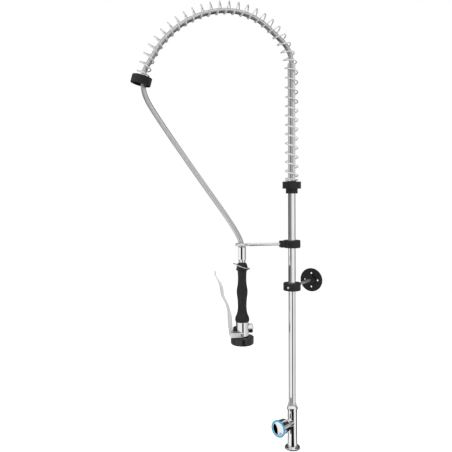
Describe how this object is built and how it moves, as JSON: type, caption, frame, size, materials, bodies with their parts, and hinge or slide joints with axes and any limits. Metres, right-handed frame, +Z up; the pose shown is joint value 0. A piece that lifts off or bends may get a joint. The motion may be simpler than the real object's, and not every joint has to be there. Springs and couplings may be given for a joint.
{
  "type": "pre rinse faucet",
  "caption": "Deck-mounted pre-rinse spray unit: valve with side knob, tall riser, wall bracket, spring arch with braided hose, hook arm and hand spray gun with squeeze lever.",
  "frame": {"origin": "centre of the foot flange's underside, on the deck", "axes": "+Z up along the riser, -X towards the spring arch and the spray gun, -Y towards the viewer of the picture"},
  "size_m": [0.5391, 0.1786, 1.1987],
  "materials": {
    "chrome": "polished",
    "steel": "satin",
    "black_plastic": "satin",
    "rubber": "matt",
    "grip_rubber": "matt",
    "brass": "machined",
    "ceramic": "lapped ceramic",
    "blue_ring": "gloss",
    "braid": "woven steel braid"
  },
  "bodies": {
    "base": {"base_body": "chrome", "deck_gasket": "rubber", "inlet_washer": "rubber", "headwork_bush": "chrome", "bush_oring": "rubber", "disc_seal": "rubber", "fixed_disc": "ceramic", "riser_pipe": "chrome", "riser_tail_ring": "brass", "riser_washer": "rubber", "union_nut": "chrome", "hose_coupling": "chrome", "coupling_orings": "rubber"},
    "knob": {"spindle": "brass", "turning_disc": "ceramic", "spindle_orings": "rubber", "knob_shell": "chrome", "index_ring": "blue_ring", "knob_cap": "chrome", "knob_screw": "steel"},
    "wall_bracket": {"wall_clamp": "black_plastic", "wall_clamp_screws": "steel"},
    "wall_rod": {"wall_rod": "steel", "wall_flange": "black_plastic", "wall_flange_screw": "steel"},
    "overhead": {"arm_clamp": "black_plastic", "arm_clamp_screws": "steel", "hook_arm": "steel", "spring_seat": "black_plastic", "seat_collar": "black_plastic", "collar_screw": "steel", "arch_spring": "chrome", "hose_nut": "chrome", "held_hose": "braid", "free_hose": "braid", "end_nut": "black_plastic", "end_bush": "rubber"},
    "hose_end": {"swivel_tail": "brass", "tail_orings": "rubber", "tail_clip": "steel"},
    "gun": {"swivel_sleeve": "chrome", "grip_collar": "black_plastic", "grip": "grip_rubber", "water_tube": "brass", "valve_body": "chrome", "bonnet": "chrome", "bonnet_oring": "rubber", "stem_boot": "rubber", "lever_pin": "steel", "head_shell": "black_plastic", "head_bumper": "rubber", "spray_plate": "steel", "plate_screw": "steel", "valve_spring": "steel"},
    "lever": {"lever": "steel"},
    "stem": {"stem": "steel", "poppet": "rubber"},
    "hold_ring": {"hold_ring": "steel"}
  },
  "joints": [
    {"name": "knob_turn", "type": "hinge", "parent": "base", "child": "knob", "pos_m": [0, 0, 0.07], "axis": [-0.7771, -0.6293, 0], "range_deg": [0, 90]},
    {"name": "wall_clamp_turn", "type": "hinge", "parent": "base", "child": "wall_bracket", "pos_m": [0, 0, 0.435], "axis": [0, 0, 1], "range_deg": [-35, 35]},
    {"name": "wall_rod_slide", "type": "slide", "parent": "wall_bracket", "child": "wall_rod", "axis": [0.6428, 0.766, 0], "range_m": [-0.008, 0.008]},
    {"name": "overhead_turn", "type": "hinge", "parent": "base", "child": "overhead", "pos_m": [0, 0, 0.55], "axis": [0, 0, 1], "range_deg": [-50, 150]},
    {"name": "gun_swing", "type": "hinge", "parent": "overhead", "child": "hose_end", "pos_m": [-0.1365, 0, 0.55], "axis": [0, 1, 0], "range_deg": [-5, 5], "deforming": ["free_hose"]},
    {"name": "gun_swivel", "type": "hinge", "parent": "hose_end", "child": "gun", "pos_m": [-0.1365, 0, 0.5], "axis": [0, 0, 1], "continuous": true},
    {"name": "lever_squeeze", "type": "hinge", "parent": "gun", "child": "lever", "pos_m": [-0.1405, 0, 0.314], "axis": [0, 1, 0], "range_deg": [0, 12], "stiffness_Nm_per_rad": 2, "springref_deg": -17.19},
    {"name": "stem_slide", "type": "slide", "parent": "gun", "child": "stem", "axis": [1, 0, 0], "range_m": [0, 0.0033], "deforming": ["valve_spring"]},
    {"name": "hold_ring_tilt", "type": "hinge", "parent": "gun", "child": "hold_ring", "pos_m": [-0.1183, 0, 0.4854], "axis": [0, 1, 0], "range_deg": [-24, 20]}
  ],
  "couplings": [
    {"joint": "stem_slide", "follows": "lever_squeeze", "m_per_rad": 0.0155}
  ]
}
